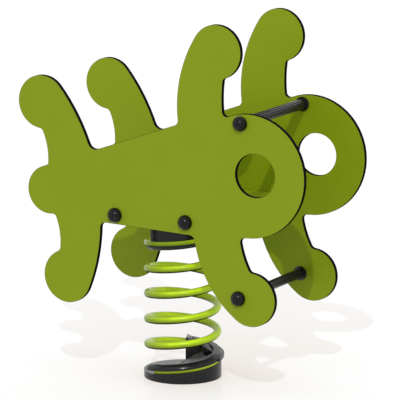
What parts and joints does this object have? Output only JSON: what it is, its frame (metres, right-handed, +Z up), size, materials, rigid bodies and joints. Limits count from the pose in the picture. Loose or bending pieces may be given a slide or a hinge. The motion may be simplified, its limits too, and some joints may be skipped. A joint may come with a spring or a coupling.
{
  "type": "spring rocker",
  "caption": "Playground spring rocker: flat creature-shaped side panels joined by a seat board, hand bar and foot bar, carried on a single upright coil spring",
  "frame": {"origin": "on the coil spring's axis at ground level, in the plane of the base jaw's underside", "axes": "+X is forwards towards the creature's head, +Y is to the rider's left, +Z is up along the spring's axis"},
  "size_m": [0.8157, 0.395, 0.9474],
  "materials": {
    "panel_board": "satin",
    "seat_plastic": "textured",
    "black_plastic": "matte",
    "black_rubber": "ribbed",
    "green_coating": "gloss",
    "black_coating": "satin",
    "cast_black": "powder coated",
    "bright_steel": "zinc plated"
  },
  "bodies": {
    "base": {"base_jaw": "cast_black", "base_clamp": "cast_black", "base_clamp_bolts": "bright_steel"},
    "spring": {"spring": "green_coating"},
    "rocker": {"side_panel_left": "panel_board", "side_panel_right": "panel_board", "seat_board": "seat_plastic", "seat_screws": "bright_steel", "seat_nuts": "bright_steel", "handle_bar": "black_coating", "handle_grip": "black_rubber", "handle_collars": "black_plastic", "footrest_bar": "black_coating", "footrest_collars": "black_plastic", "bar_plugs": "bright_steel", "bolt_caps": "black_plastic", "cap_washers": "black_plastic", "bar_bolts": "bright_steel", "bracket_bolts": "bright_steel", "bracket_washers": "bright_steel", "bracket_nuts": "bright_steel", "saddle_bracket": "black_coating", "saddle_screws": "bright_steel", "head_jaw": "cast_black", "head_clamp": "cast_black", "head_clamp_bolts": "bright_steel"}
  },
  "joints": [
    {"name": "rock_fore_aft", "type": "hinge", "parent": "base", "child": "spring", "pos_m": [0, 0, 0.15], "axis": [0, 1, 0], "range_deg": [-20, 20], "stiffness_Nm_per_rad": 1500, "deforming": ["spring"]},
    {"name": "rock_side", "type": "hinge", "parent": "spring", "child": "rocker", "pos_m": [0, 0, 0.28], "axis": [1, 0, 0], "range_deg": [-10, 10], "stiffness_Nm_per_rad": 1500}
  ]
}
